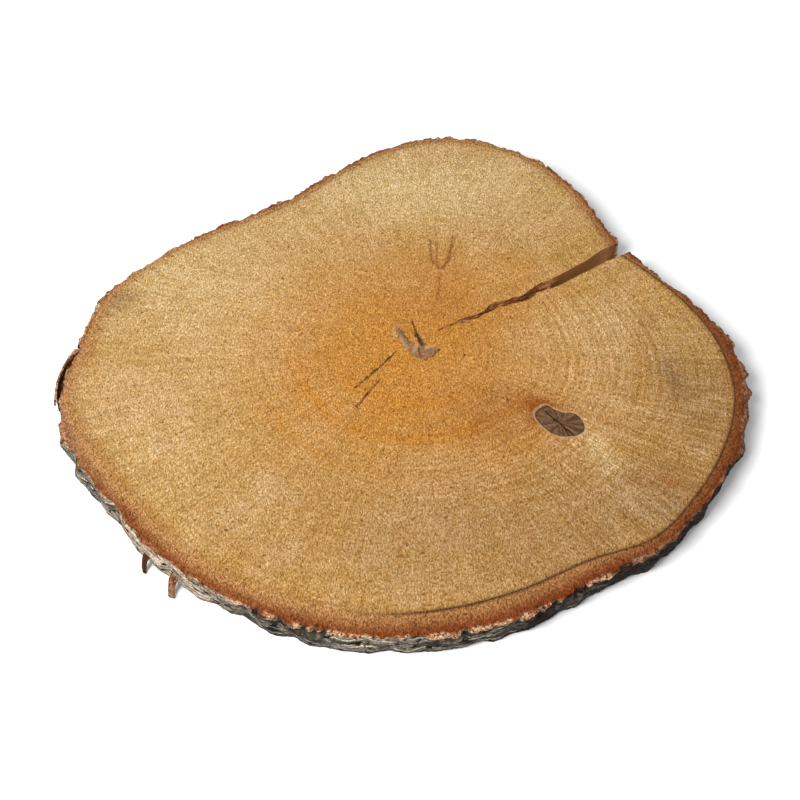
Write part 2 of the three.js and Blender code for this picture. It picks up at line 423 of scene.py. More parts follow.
def knot_share(plan):
    """0 at the knot's centre, 1 on its edge: distance over the edge's distance that way."""
    curve = closed_curve(KNOT_EDGE - KNOT_CENTRE, np.linspace(0, len(KNOT_EDGE), 201)[:-1])
    curve_angle = np.degrees(np.arctan2(curve[:, 1], curve[:, 0])) % 360
    turn = np.argsort(curve_angle)
    out = plan - KNOT_CENTRE
    angle = np.degrees(np.arctan2(out[..., 1], out[..., 0])) % 360
    edge_reach = np.interp(angle, curve_angle[turn], np.hypot(*curve[turn].T), period=360)
    return np.hypot(out[..., 0], out[..., 1]) / edge_reach


def groove(plan, start, end, width):
    """1 along a line between two places, falling to 0 at half its width, pointed at both ends."""
    start, end = np.asarray(start, float), np.asarray(end, float)
    run = end - start
    along = np.clip((plan - start) @ run / (run @ run), 0, 1)
    away = np.hypot(*np.moveaxis(plan - start - along[..., None] * run, -1, 0))
    half = width / 2 * np.sqrt(np.clip(4 * along * (1 - along), 1e-4, 1))
    return 1 - smooth_step(away, 0.25 * half, half + 0.25)


print("knot share at its crack:", round(float(knot_share(np.array([[87.0, -67.0]]))[0]), 2))

# %% [markdown]
# The sawn face isn't smooth. The saw left shallow waves, and it pulled up a short fuzz of
# fibres, so the face has fine relief in the mesh itself and finer relief still in the material.

# %% Relief of the sawn face
SAW_MARK_TURN = math.radians(24)


def face_relief(plan):
    """Height of the face above its flat, from plan places: fuzz, saw marks, knot and checks."""
    places = np.concatenate([plan, np.zeros(plan.shape[:-1] + (1,))], axis=-1)
    across = plan[..., 0] * math.sin(SAW_MARK_TURN) + plan[..., 1] * math.cos(SAW_MARK_TURN)
    along = plan[..., 0] * math.cos(SAW_MARK_TURN) - plan[..., 1] * math.sin(SAW_MARK_TURN)
    marks = uneven(np.stack([across, along, 0 * along], axis=-1), (3.1, 60, 1), 21)
    fuzz = 0.10 * uneven(places, 1.9, 22) + 0.08 * uneven(places, 4.1, 23)
    share = knot_share(plan)
    sunk = 1 - smooth_step(share, 0.93, 1.03)
    height = 0.04 * marks + fuzz * (1 - 0.8 * sunk) - KNOT_DEPTH * sunk
    for start, end, width, depth in CHECKS:
        height = height - depth * groove(plan, start, end, width)
    return height


print("relief at the knot's centre, mm:", round(float(face_relief(KNOT_CENTRE[None])[0]), 2))

# %% [markdown]
# The wood is one closed body. Rings of points run from the pith out to the rim, down the rim
# and back in underneath, and two more grids are the walls of the crack. Fine rings are only
# needed on the face, so the hidden side has an eighth of the points round.

# %% The wood body
COLUMNS = 600
RINGS = 118
PITH_RINGS = 19
WALL_ROWS = 15
KNOT_COLUMNS_AT, KNOT_RINGS_AT = 0.808, 0.49


def spread(count, density):
    """Shares from 0 to 1, closer together where density is high: equal steps of its sum."""
    base = np.linspace(0, 1, 2001)
    total = np.concatenate([[0], np.cumsum(density((base[1:] + base[:-1]) / 2))])
    return np.interp(np.linspace(0, total[-1], count + 1), total, base)


shares = spread(COLUMNS, lambda s: 1 + 1.1 * np.exp(-((s - KNOT_COLUMNS_AT) / 0.035) ** 2))
steps = spread(RINGS, lambda s: 1 + 0.7 * np.exp(-((s - KNOT_RINGS_AT) / 0.1) ** 2))
heights = np.linspace(0, 1, WALL_ROWS + 1)


def wood_points(share, step, height):
    """Points of the wood at shares round, steps out and a height share, all as arrays.

    Reach runs evenly from the crack's tip out to the rim, and is the same all round inside
    the tip, where the crack hasn't reached.
    """
    share, step, height = np.broadcast_arrays(share, step, height)
    level = THICKNESS * height
    _, rim = rim_of(share, level, wood_reach, wood_reach)
    reach = np.where(step < 0, TIP_REACH * (1 + step), TIP_REACH + (rim - TIP_REACH) * step)
    plan = polar(round_from_crack(share, reach, level), reach)
    top = polar(round_from_crack(share, reach, THICKNESS), reach)
    return leaning(plan, height * (THICKNESS + face_relief(top)))


pith_steps = np.linspace(-1, 0, PITH_RINGS + 1)[:-1]
pole = np.zeros(1)
under = [2, 4] + [8] * (RINGS - 2)
wood_loops = (
    [wood_points(pole, pole - 1, 1.0)]
    + [wood_points(shares[::2], step, 1.0) for step in pith_steps[1:]]
    + [wood_points(shares, step, 1.0) for step in steps]
    + [wood_points(shares, 1.0, height) for height in heights[-2::-1]]
    + [wood_points(shares[::skip], step, 0.0) for skip, step in zip(under, steps[-2::-1])]
    + [wood_points(shares[::8], step, 0.0) for step in pith_steps[:0:-1]]
    + [wood_points(pole, pole - 1, 0.0)])
SAWN, TORN = 0, 1
wood_patches = [(*skin(wood_loops), SAWN)]
for side, flip in ((0.0, 1), (1.0, -1)):
    wall_points, wall_faces = skin([wood_points(side, steps, height) for height in heights])
    wood_patches.append((wall_points, [face[:, ::flip] for face in wall_faces], TORN))
print("rings on the face:", len(steps) + len(pith_steps), "columns:", COLUMNS)

# %% [markdown]
# Each finish is built from a few kinds of node. The helpers below add a node and hand back its
# output, so that a material reads as a short list of layers. All patterns use the object's own
# coordinates in millimetres, so they stay on the piece from every side.

# %% Helpers for materials
WARMTH = (-0.1, 0.15, 0.7)
COMBED = (1.25, 0.58, 1)
DULL_GLOSS, FLOOR_GLOSS = 0.15, 0.5


def colour(code):
    """A screen colour written like C8A064, as the linear numbers that Blender uses."""
    parts = [int(code[i:i + 2], 16) / 255 for i in (0, 2, 4)]
    return (*(p / 12.92 if p <= 0.04045 else ((p + 0.055) / 1.055) ** 2.4 for p in parts), 1.0)


def node(tree, kind, links=None, **settings):
    """Adds a node. Each input named in links gets a number, a colour or another output."""
    added = tree.nodes.new(kind)
    for name, value in settings.items():
        setattr(added, name, value)
    for name, value in (links or {}).items():
        if isinstance(value, bpy.types.NodeSocket):
            tree.links.new(value, added.inputs[name])
        else:
            added.inputs[name].default_value = value
    return added


def finish(name, gloss=DULL_GLOSS):
    """A new material: returns it, its tree, its shader and the place in millimetres."""
    material = bpy.data.materials.new(name)
    material.use_nodes = True
    tree = material.node_tree
    shader = tree.nodes["Principled BSDF"]
    shader.inputs["Specular IOR Level"].default_value = gloss
    place = node(tree, "ShaderNodeTexCoord").outputs["Object"]
    return material, tree, shader, vector(tree, "SCALE", place, {"Scale": 1 / MM})


def vector(tree, operation, first, others=None):
    """A vector sum, product or the like of one vector with the inputs in others."""
    added = node(tree, "ShaderNodeVectorMath", {0: first, **(others or {})}, operation=operation)
    return added.outputs["Value" if operation in ("LENGTH", "DISTANCE", "DOT_PRODUCT") else 0]


def maths(tree, operation, first, second=0.0, third=0.0, clamp=False):
    """A sum, product or the like of up to three numbers."""
    return node(tree, "ShaderNodeMath", {0: first, 1: second, 2: third},
                operation=operation, use_clamp=clamp).outputs[0]


def graded(tree, value, low, high, start=0.0, end=1.0):
    """start below low, end above high, smoothly between."""
    return node(tree, "ShaderNodeMapRange", {
        "Value": value, "From Min": low, "From Max": high, "To Min": start, "To Max": end},
        interpolation_type="SMOOTHSTEP").outputs[0]


def clouds(tree, place, size, detail=2.0, roughness=0.5, distortion=0.0):
    """Soft random patches about size millimetres across, mostly from 0.3 to 0.7."""
    return node(tree, "ShaderNodeTexNoise", {
        "Vector": place, "Scale": 1 / size, "Detail": detail,
        "Roughness": roughness, "Distortion": distortion}).outputs[0]


def hairs(tree, place, size, width, distortion):
    """Thin curved lines: 1 where soft patches pass through their middle value, 0 beside it."""
    soft = clouds(tree, place, size, 1.0, 0.5, distortion)
    off = maths(tree, "ABSOLUTE", maths(tree, "SUBTRACT", soft, 0.5))
    return graded(tree, off, 0.0, width, 1.0, 0.0)


def stroke(tree, place, start, end, width, soft):
    """1 within half a width of the line between two plan places, 0 past a soft edge."""
    start, end = Vector((*start, 0)), Vector((*end, 0))
    run = end - start
    out = vector(tree, "SUBTRACT", place, {1: start})
    along = vector(tree, "DOT_PRODUCT", out, {1: run / run.length_squared})
    along = maths(tree, "ADD", along, 0.0, clamp=True)
    foot = vector(tree, "SCALE", tuple(run), {"Scale": along})
    away = vector(tree, "DISTANCE", out, {1: foot})
    return graded(tree, away, width / 2 - soft / 2, width / 2 + soft / 2, 1.0, 0.0)


def most(tree, first, *others):
    """The largest of several shares."""
    for other in others:
        first = maths(tree, "MAXIMUM", first, other)
    return first


def product(tree, first, *others):
    """Several shares or tones multiplied together."""
    for other in others:
        first = maths(tree, "MULTIPLY", first, other)
    return first


def strokes(tree, place, marks, soft=0.6):
    """The strongest share of several strokes, each given as its start, its end and its width."""
    return most(tree, *(stroke(tree, place, *mark, soft) for mark in marks))


def kept(tree, name):
    """The number that keep_values stored under a name."""
    return node(tree, "ShaderNodeAttribute", attribute_name=name).outputs["Fac"]


def painted(tree, share, under, over, mode="MIX"):
    """One colour laid over another by a share. Either may be a colour's code."""
    under, over = (colour(c) if isinstance(c, str) else c for c in (under, over))
    return node(tree, "ShaderNodeMix", {0: share, 6: under, 7: over},
                data_type="RGBA", blend_type=mode).outputs[2]


def layered(tree, base, layers):
    """Colours laid over a base in turn, each given as its share and its colour."""
    for share, over in layers:
        base = painted(tree, share, base, over)
    return base


def stained_and_shaded(tree, base, stains):
    """Colours laid over a base in turn, each by the share kept under its name. Some of these
    shares are stains, and some paint shade.
    """
    return layered(tree, base, [(kept(tree, name), over) for name, over in stains.items()])


def toned(tree, base, tones, warm=0.0):
    """A colour times the product of several tones. With warm above 0 the blue changes most
    and the red least, so that dark spots turn brown and light ones cream."""
    total = product(tree, *tones)
    parts = [maths(tree, "POWER", total, 1 + warm * more) for more in WARMTH]
    tint = node(tree, "ShaderNodeCombineColor", dict(enumerate(parts))).outputs[0]
    return painted(tree, 1.0, base, tint, "MULTIPLY")


def speckled(tree, place, strength=1.0):
    """The sawn fuzz of wood and inner bark: soft tones, dark pits and short curved light hairs,
    as tones to multiply by, and a height for fine relief. The dark pits are partly painted shade
    and the light hairs partly painted highlights on the raised fibres. The saw combed it all one way."""
    combed = vector(tree, "MULTIPLY", place, {1: COMBED})
    fuzz = clouds(tree, combed, 0.95, 3.0, 0.68, 0.6)
    tufts = hairs(tree, combed, 1.25, 0.055, 2.0)
    pits = clouds(tree, combed, 1.3, 2.0, 0.65, 1.0)
    patchy = clouds(tree, place, 5.0, 2.0, 0.6)
    # Pits darken partly as painted shade, and hairs brighten partly as painted highlights.
    tones = [
        graded(tree, fuzz, 0.38, 0.62, 1 - 0.36 * strength, 1 + 0.3 * strength),
        graded(tree, pits, 0.32, 0.42, 1 - 0.5 * strength, 1.0),
        graded(tree, product(tree, tufts, graded(tree, patchy, 0.34, 0.56)),
               0.0, 1.0, 1.0, 1 + 0.5 * strength)]
    return tones, maths(tree, "MULTIPLY_ADD", tufts, 0.35, fuzz)


def surfaced(tree, shader, base, roughness, height, depth):
    """Gives a shader its colour, its roughness, and fine relief: a height of 0 to 1 that
    stands for depth millimetres."""
    tree.links.new(base, shader.inputs["Base Color"])
    shader.inputs["Roughness"].default_value = roughness
    bump = node(tree, "ShaderNodeBump", {"Height": height, "Distance": depth * MM, "Strength": 1.0})
    tree.links.new(bump.outputs[0], shader.inputs["Normal"])


print("straw yellow in linear numbers:", [round(v, 3) for v in colour("C8A064")])

# %% [markdown]
# The sawn face is pale straw wood with an orange heart stain round the pith. Over it lie growth
# rings, rays that run outwards, and the speckle of the saw's fuzz. Broad stains are kept as one
# number a point, because they have soft edges, and everything fine is left to the nodes: the
# dark pith, the small U where a bud grew, the checks and a few specks are strokes between places.

# %% Marks on the face
PITH_GREY = [((-10, 13), (-5, 2), 3.4), ((-4.5, 2), (0.5, -6), 5.6), ((2, -8), (10, -3), 5.0),
             ((4, 2), (2.5, -7), 3.4)]
PITH_PALE = [((-8.5, 6), (-5, -1.5), 2.2), ((0.5, 1), (-1, -4), 2.4), ((6, -2), (10, 0.5), 2.2),
             ((-13, 14), (-12, 7), 2.0)]
PITH_BROWN = [((-1.8, 19), (0.2, 9.5), 1.6), ((4.5, -10.8), (10, -7), 1.2), ((10, -7), (13, -2), 1.2),
              ((-8.6, 13), (-3.6, 3), 0.8), ((1.2, -1), (2.6, -9), 0.9)]
PITH_DARK = [((0.2, 10), (3.4, 1.2), 2.3)]
CHECK_LINES = [
    ((-11, -4), (-34, -32), 0.75), ((-20, -25), (-33, -46), 0.7), ((-36, -42), (-31, -48), 0.6)]
BUD_LINES = [
    ((9.1, 89), (9.6, 72), 1.8), ((9.6, 72), (14.2, 64.4), 1.8), ((16.6, 64.4), (20.4, 73), 2.4),
    ((20.4, 73), (23, 92), 2.2), ((13.2, 86), (12.6, 70), 1.2),
    ((14.8, 60), (12.5, 38), 0.9)]
KNOT_LINES = [((71, -48.5), (78.5, -57.5), 0.8), ((78.5, -57.5), (86, -66.5), 1.1)]
KNOT_CROSSING = [
    ((69, -56.5), (76, -56.2), 0.5), ((77, -56.5), (83, -50.5), 0.4),
    ((77, -58), (77.5, -66), 0.5)]
BUD_SCAR = [((14.6, 62.2), (16.8, 62.4), 1.2)]
GRAIN_LINES = [((-186, -57), (-155, -45), 1.0), ((-142, -18.6), (-107, -16), 0.9),
               ((-95, -31), (-81, -26), 0.8), ((-140, 29), (-110, 21), 0.8),
               ((70, -70), (91, -94), 0.9), ((91, -94), (117, -111), 0.8)]
SPECKS = [((70.7, 113.6), 1.0), ((-20, 94.4), 1.0), ((-75.2, -41), 1.0), ((-69.2, -96), 1.0),
          ((-98.7, -130), 1.2), ((2.5, -144.5), 1.0), ((77.6, -134.5), 1.1), ((160, -81), 1.2),
          ((47.8, -39.5), 1.7), ((115.5, -95.9), 1.1)]
SPECK_LINES = [((x - 0.2, y), (x + 0.2, y + 0.3), size) for (x, y), size in SPECKS]


def wandering(tree, place, flat):
    """Plan places shaken by a millimetre or two, so that no mark has a straight edge."""
    shake = [maths(tree, "MULTIPLY_ADD", clouds(tree, place, size, detail, 0.6), times, -times / 2)
             for size, detail, times in ((2.2, 2.0, 3.4), (2.7, 3.0, -5.0))]
    offset = node(tree, "ShaderNodeCombineXYZ", {"X": shake[0], "Y": shake[1]}).outputs[0]
    return vector(tree, "ADD", flat, {1: offset})


def face_marks(tree, place, shifted, relief):
    """The share and the colour of each kind of mark, in the order they are laid."""
    patchy = clouds(tree, place, 5.0, 2.0, 0.6)
    rows = [
        (PITH_GREY, 1.8, graded(tree, patchy, 0.3, 0.6, 0.95, 0.6), "8A6C56"),
        (PITH_PALE, 1.6, 0.5, "CDAE86"),
        (PITH_BROWN, 0.6, graded(tree, patchy, 0.36, 0.5, 0.45, 0.85), "5E3A1C"),
        (BUD_LINES, 2.0, graded(tree, relief, 0.45, 0.85, 0.85, 0.3), "8A480E"),
        (PITH_DARK, 1.6, 1.0, "583E28"),
        (CHECK_LINES, 0.5, 0.75, "5A3818"),
        (GRAIN_LINES, 1.4, 0.3, "7A5228"),
        (SPECK_LINES, 0.6, 0.8, "3C2410")]
    return [(product(tree, strokes(tree, shifted, lines, soft), share), over)
            for lines, soft, share, over in rows]


print("marks on the face:", len(PITH_GREY + PITH_BROWN + CHECK_LINES + BUD_LINES + SPECKS))

# %% [markdown]
# Under the marks lies the grown wood. A ring is a noise along one number, the growth, which is
# nearly the distance from the pith. A ray is a noise read at a place that changes fast round
# the pith and slowly outwards, so its patches are drawn out into lines.

# %% Rings, rays and stains
RING_SPACE, RING_WANDER = 2.6, 2.6
RAY_SPREAD, RAY_DRIFT, FINE_RAYS = 30, 0.014, 4.0
WOOD_STAINS = dict(pale="DCBC80", heart="C8832E", dull="947048", halo="9A5618")


def rings_and_rays(tree, place, flat):
    """Tones of the growth rings, the rays and a broad cloudiness, to multiply a colour by."""
    drift = product(tree, vector(tree, "LENGTH", flat), RAY_DRIFT)
    outward = vector(tree, "SCALE", vector(tree, "NORMALIZE", flat), {"Scale": RAY_SPREAD})
    ray = vector(tree, "ADD", outward, {
        1: node(tree, "ShaderNodeCombineXYZ", {"Z": drift}).outputs[0]})
    rays = clouds(tree, ray, 1.0, 4.0, 0.65)
    fine_rays = clouds(tree, vector(tree, "SCALE", ray, {"Scale": FINE_RAYS}), 1.0, 2.0, 0.6)
    growth = maths(tree, "MULTIPLY_ADD", clouds(tree, place, 7.0), RING_WANDER, kept(tree, "growth"))
    rings = node(tree, "ShaderNodeTexNoise", {
        "W": maths(tree, "DIVIDE", growth, RING_SPACE), "Scale": 1.0, "Detail": 2.0,
        "Roughness": 0.6}, noise_dimensions="1D").outputs[0]
    rows = [(rings, 0.38, 0.62, -0.12, 0.11, "ringed"), (rays, 0.34, 0.66, -0.05, 0.045, "rayed"),
            (fine_rays, 0.38, 0.62, -0.05, 0.05, "rayed")]
    tones = [maths(tree, "MULTIPLY_ADD", graded(tree, *grades), kept(tree, name), 1.0)
             for *grades, name in rows]
    return tones + [graded(tree, clouds(tree, place, 14.0), 0.3, 0.7, 0.97, 1.03)]


def grown_wood(tree, place, flat, tones):
    """Straw wood under its stains, then rings, rays and the given tones, then dark dots."""
    broad = clouds(tree, place, 34.0, 3.0, 0.55)
    base = painted(tree, graded(tree, broad, 0.32, 0.68), "BD8F4A", "C89C62")
    base = stained_and_shaded(tree, base, WOOD_STAINS)
    base = toned(tree, base, tones + rings_and_rays(tree, place, flat), warm=1.7)
    # The kept lit factor brightens the colour evenly on the face, and more on the fuzz as a painted
    # highlight.
    base = toned(tree, base, [kept(tree, "lit")], warm=0.6)
    dots = graded(tree, clouds(tree, place, 2.1, 1.0, 0.5, 0.8), 0.70, 0.76)
    return layered(tree, base, [
        (product(tree, dots, 0.75), "6A3E14"), (kept(tree, "cambium"), "5A3414")])


def knot_face(tree, place, flat, share):
    """The sawn branch: brown with fine rays from its own centre, and darker at its edge."""
    outward = vector(tree, "NORMALIZE", vector(tree, "SUBTRACT", flat, {1: (*KNOT_CENTRE, 0)}))
    fan = clouds(tree, vector(tree, "SCALE", outward, {"Scale": 5.0}), 1.0, 3.0, 0.6)
    knot = painted(tree, graded(tree, fan, 0.36, 0.64), "5C3E28", "906C4C")
    knot = toned(tree, knot, [graded(tree, clouds(tree, place, 1.6), 0.3, 0.7, 0.85, 1.12)])
    return painted(tree, graded(tree, share, 0.9, 1.0, 0.0, 0.8), knot, "4A3222")


def sawn_wood():
    """Wood as the saw left it: the grown wood, its marks, and the knot with a pale rim."""
    material, tree, shader, place = finish("sawn_wood")
    flat = vector(tree, "MULTIPLY", place, {1: (1, 1, 0)})
    shifted = wandering(tree, place, flat)
    tones, relief = speckled(tree, place)
    share = kept(tree, "knot")
    knot_rim = product(tree, graded(tree, share, 1.0, 1.04), graded(tree, share, 1.16, 1.1))
    cross = most(tree, strokes(tree, shifted, KNOT_LINES),
                 product(tree, strokes(tree, shifted, KNOT_CROSSING), 0.7))
    base = layered(tree, grown_wood(tree, place, flat, tones), [
        *face_marks(tree, place, shifted, relief),
        (product(tree, strokes(tree, flat, BUD_SCAR, 1.4), 0.6), "C8B498"),
        (product(tree, knot_rim, 0.65), "C8A47A"),
        (graded(tree, share, 1.03, 0.97), knot_face(tree, place, flat, share)),
        (cross, "180E0A")])
    surfaced(tree, shader, base, 0.85, relief, 1.1)
    return material


def torn_wood():
    """Wood that split: pale and dark streaks where it tore, even brown where it split clean."""
    material, tree, shader, place = finish("torn_wood")
    fibres = clouds(tree, vector(tree, "MULTIPLY", place, {1: (0.3, 0.3, 1)}), 1.1, 3.0, 0.6)
    blotches = clouds(tree, place, 9.0, 3.0, 0.6)
    base = painted(tree, graded(tree, fibres, 0.4, 0.6), "A2581F", "E2AE76")
    base = painted(tree, graded(tree, blotches, 0.45, 0.6, 0, 0.7), base, "803E14")
    base = stained_and_shaded(tree, base, dict(clean_split="AC7644"))
    surfaced(tree, shader, base, 0.9, fibres, 0.4)
    return material


SAWN_WOOD, TORN_WOOD = sawn_wood(), torn_wood()
wood = mesh_piece("wood_body", wood_patches, [SAWN_WOOD, TORN_WOOD])
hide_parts("wood")

# %% [markdown]
# The stains follow how the tree grew. The heart stain is strongest at the pith and towards the
# back, the knot has an orange halo on the pith's side, and the wood dulls to grey in a few
# patches. Each is a soft bump, or a few of them, laid on the finished points.

# %% Stains of the wood
RING_MEAN = 173.0
# LIT_FUZZ paints the fuzz lighter than the face, a painted highlight on the fibres' tips.
LIT_FACE, LIT_FUZZ = 1.14, 1.55
STAIN_RINGS = [(46, 0.16), (70, 0.3), (94, 0.2)]
RUSTY_SPOTS = [
    (0.4, (131, 18), (7, 9), -15), (0.65, (133, -99), (9, 4), -15),
    (0.4, (110, -99), (7, 3.5), -15), (0.3, (95, -88), (6, 4), -15),
    (0.25, (-20, 88), (3, 5), -15)]
WAVY_STAINS = dict(
    heart=[(0.85, (-6, 6), (80, 72)), (0.15, (38, 48), (34, 30)), (0.3, (15, -62), (85, 32), -8)],
    pale=[(0.6, (-120, 55), (80, 80)), (0.9, (0, 140), (85, 38)), (0.28, (-132, -84), (48, 42)),
          (0.3, (108, 22), (42, 30)), (0.1, (62, 78), (50, 30))],
    dull=[(0.5, (165, -35), (42, 50)), (0.4, (70, -135), (120, 50)), (0.35, (130, -112), (34, 26)),
          (0.5, (145, -20), (12, 12)), (0.7, (-172, 42), (13, 7))],
    halo=[(0.42, (48, -50), (28, 20)), (0.1, (20, -135), (90, 30)), (0.15, (12, 36), (26, 20))],
    ringed=[])
EVEN_STAINS = dict(
    heart=[], pale=[(0.85, (99, -83), (25, 7), -62)], dull=[],
    halo=[(0.75, (68, -45), (10, 6), -25), (0.6, (65, -54), (4, 8)), (0.35, (84, -48), (12, 4), -20)],
    ringed=[(1.0, (120, 10), (60, 60)), (0.6, (60, -90), (50, 40))])


def patch(plan, centre, size, turn=0.0):
    """A soft round stain: exp(-d*d), with d the distance from its centre over its half sizes."""
    angle = math.radians(turn)
    out = plan - np.asarray(centre, float)
    along = out[:, 0] * math.cos(angle) + out[:, 1] * math.sin(angle)
    across = out[:, 1] * math.cos(angle) - out[:, 0] * math.sin(angle)
    return np.exp(-(along / size[0]) ** 2 - (across / size[1]) ** 2)


def patches(plan, rows):
    """The sum of several stains, each given as its strength, centre, half sizes and turn."""
    return sum(strength * patch(plan, *shape) for strength, *shape in rows)


def stain_values(piece, lit=LIT_FACE):
    """Every number that the sawn finish reads, from the places of a piece's points. Growth is
    the reach a point would have in a round trunk, which is what the rings follow."""
    plan, degrees, reach = upright(points_of(piece))
    rim, from_crack = wood_reach(degrees), past_crack(degrees)
    grown = reach * (1 + (RING_MEAN / rim - 1) * np.clip(reach / rim, 0, 1) ** 2)
    flat = np.c_[plan, 0 * reach]
    soft = uneven(flat, 22, 51) + 0.5 * uneven(flat, 9, 52)
    left, right = arc(from_crack, 150, 262, 12), arc(from_crack, 262, 400, 12)
    stains = {name: patches(plan + 9 * soft[:, None], rows) + patches(plan, EVEN_STAINS[name])
              for name, rows in WAVY_STAINS.items()}
    for at, size in STAIN_RINGS:
        ring = np.exp(-((grown + 3 * soft - at) / 4) ** 2)
        stains["heart"] += size * arc(degrees, 190, 325, 20) * ring
    stains["halo"] += (0.35 * (0.5 + 0.5 * left) * smooth_step(reach - rim, -8, 0)
                       + patches(plan + 1.5 * soft[:, None], RUSTY_SPOTS))
    stains["ringed"] += 0.3
    stains = {name: np.clip(numbers, 0, 1) for name, numbers in stains.items()}
    keep_values(
        piece, growth=grown + 1.2 * soft, knot=np.minimum(knot_share(plan), 9), lit=lit,
        cambium=(0.3 + 0.55 * right) * (1 - left) * smooth_step(reach - rim, -1.7, -0.5),
        rayed=1 + 1.1 * arc(from_crack, 300, 352, 14) * smooth_step(reach, 90, 125),
        clean_split=smooth_step(reach, TORN_TO - 12, TORN_TO + 4), **stains)
    return stains["heart"]


print("heart stain up to", round(float(stain_values(wood).max()), 2))

# %% [markdown]
# The saw pulls up thousands of short fibres. Each is a thin closed spindle that lies almost
# flat, with its root in the wood. There is one to every few square millimetres, and they share
# the wood's finish, painted a little lighter as a highlight where their tips catch the light.

# %% Fuzz of the saw
FUZZ_COUNT, FUZZ_SEED = 32000, 71
FUZZ_TO_RIM = 1.5
SMOOTH_ZONE = ((112, -88), (34, 16), -40)
FUZZ_STEPS = ((0.0, -0.12), (0.55, 0.75), (1.0, 1.0))


def fuzz_roots(random):
    """Even random places on the face: none on the knot, and few where the saw cut clean."""
    share = random.uniform(0, 1, FUZZ_COUNT)
    reach = np.sqrt(random.uniform(0, 1, FUZZ_COUNT))
    reach = reach * (rim_of(share, THICKNESS, wood_reach, wood_reach)[1] - FUZZ_TO_RIM)
    plan = polar(round_from_crack(share, reach, THICKNESS), reach)
    keep = knot_share(plan) > 1.12
    keep &= random.uniform(0, 1, FUZZ_COUNT) > patch(plan, *SMOOTH_ZONE)
    return plan[keep]


def fuzz():
    """Spindles 0.8 to 2.3 mm long, each from a root 0.12 mm down to a tip just off the face.
    The middle and the tip lie further round a bend, at 0.75 and 1 times the tip's rise."""
    random = np.random.default_rng(FUZZ_SEED)
    roots = fuzz_roots(random)
    count = len(roots)
    heading = np.radians(random.normal(70, 55, count) + 180 * random.integers(0, 2, count))
    bend = random.uniform(-0.9, 0.9, count)
    length = random.uniform(0.8, 2.3, count)
    rise = random.uniform(0.04, 0.2, count)
    rows = []
    for part, height in FUZZ_STEPS:
        turned = heading + bend * part
        out = np.stack([np.cos(turned), np.sin(turned)], axis=-1) * (length * part)[:, None]
        level = THICKNESS + face_relief(roots) + height * (rise if part else 1)
        rows.append(np.concatenate([roots + out, level[:, None]], axis=-1))
    side = np.stack([-np.sin(heading), np.cos(heading), 0 * heading], axis=-1)[:, None]
    width = random.uniform(0.09, 0.2, count)[:, None] * np.array([0, 1, 0])
    return spindles(np.stack(rows, axis=1), side, width, 0.7 * width, segments=3)


saw_fuzz = mesh_piece("saw_fuzz", [(*fuzz(), 0)], [SAWN_WOOD], 80)
stain_values(saw_fuzz, LIT_FUZZ)

# %% [markdown]
# Where the wood tore, strands of it hang along the far wall of the crack.
# They are closed spindles that follow the wall a little way in from it, and one broad chip
# stands where the torn part ends and the clean split begins.

# %% Torn strands in the crack
STRAND_COUNT, STRAND_SEED = 160, 91
UPWARD = np.array([0.0, 0.0, 1.0])
STRAND_RANGES = dict(
    start=(26, 98), length=(3, 10), level=(8, 16.6), fall=(-1.5, 0.8), off=(0.0, 1.1),
    half=(0.22, 0.6))
BROAD_CHIP = dict(start=97, length=6, level=14.5, fall=1.0, off=0.6, half=1.1)


def strand_spindles():
    """Spindles along the far wall. Each starts at a random reach and height, comes away from
    the wall as it runs outwards, and falls or climbs a little. The first is the broad chip."""
    random = np.random.default_rng(STRAND_SEED)
    drawn = {name: random.uniform(*limits, STRAND_COUNT) for name, limits in STRAND_RANGES.items()}
    for name, value in BROAD_CHIP.items():
        drawn[name][0] = value
    start, length, level, fall, off, half = (row[:, None] for row in drawn.values())
    run = np.linspace(0, 1, 6)[None, :]
    reach, level = start + length * run, level + fall * run
    degrees = crack_side(reach, level, 1) - np.degrees((off * run + 0.1) / reach)
    half = half * swelling(run)
    return spindles(leaning(polar(degrees, reach), level), UPWARD, half, 0.45 * half)


strands = mesh_piece("torn_strands", [(*strand_spindles(), 0)], [TORN_WOOD], 80)
stain_values(strands)

# %% [markdown]
# The bark is a band round the wood, open where the crack runs out. Its cross-section is carried
# round the trunk: the hidden inner wall, the sawn inner bark on top, a crumbly rim, and the
# rough outer side, rounded in a little at its edges.

# %% Outer shape of the bark
BARK_WAVES = np.array([
    (13, 0.5, 0.45, 0.3), (29, -1.2, 0.45, 1.9), (53, 1.7, 0.45, 4.1), (79, -2.3, 0.35, 2.6)])
BARK_LUMPS = np.array([
    (127, 15, 2, 1.8), (168, 15, 3, 2), (197, 15, 2, 1.5), (199.8, 14, 3, 1.5),
    (206, 9, 3, 2.2), (215, 13, -2.5, 1.6), (244, 5, -2.5, 2), (251, 4, -2, 1.6),
    (262, 11, -2.5, 2.4), (284, 7, -2.5, 2), (339, 9, 4, 2.4), (345, 12, 4, 2),
    (350, 13.5, 4, 1.8), (354, 14.5, 4.5, 1.8)])
LUMP_HALF_HEIGHT = 5.5
ROUNDED_HEIGHT = [0, 2.5, 6, 10.5, 15, 18]
ROUNDED_IN = [1.8, 0.7, 0.1, 0, 0.3, 0.6]
NOTCHES = np.array([
    (245.9, 0.35), (249.6, 0.45), (253.3, 0.5), (255.0, 0.4), (256.4, 0.35), (276.9, 0.5),
    (288.6, 0.55), (291.4, 0.4), (295.4, 0.5), (297.2, 0.4), (214.8, 0.6), (210.7, 0.3)])
NOTCH_TOP, NOTCH_HALF_HEIGHT, NOTCH_DEEP = 14.0, 4.5, 2.2


def notch_share(degrees, height):
    """1 in the middle of a chip knocked out of the rim, 0 away from it."""
    total = np.zeros(np.broadcast_shapes(np.shape(degrees), np.shape(height)))
    for at, width in NOTCHES:
        total += np.exp(-((degrees - at) / width) ** 2
                        - ((height - NOTCH_TOP) / NOTCH_HALF_HEIGHT) ** 2)
    return np.clip(total, 0, 1)


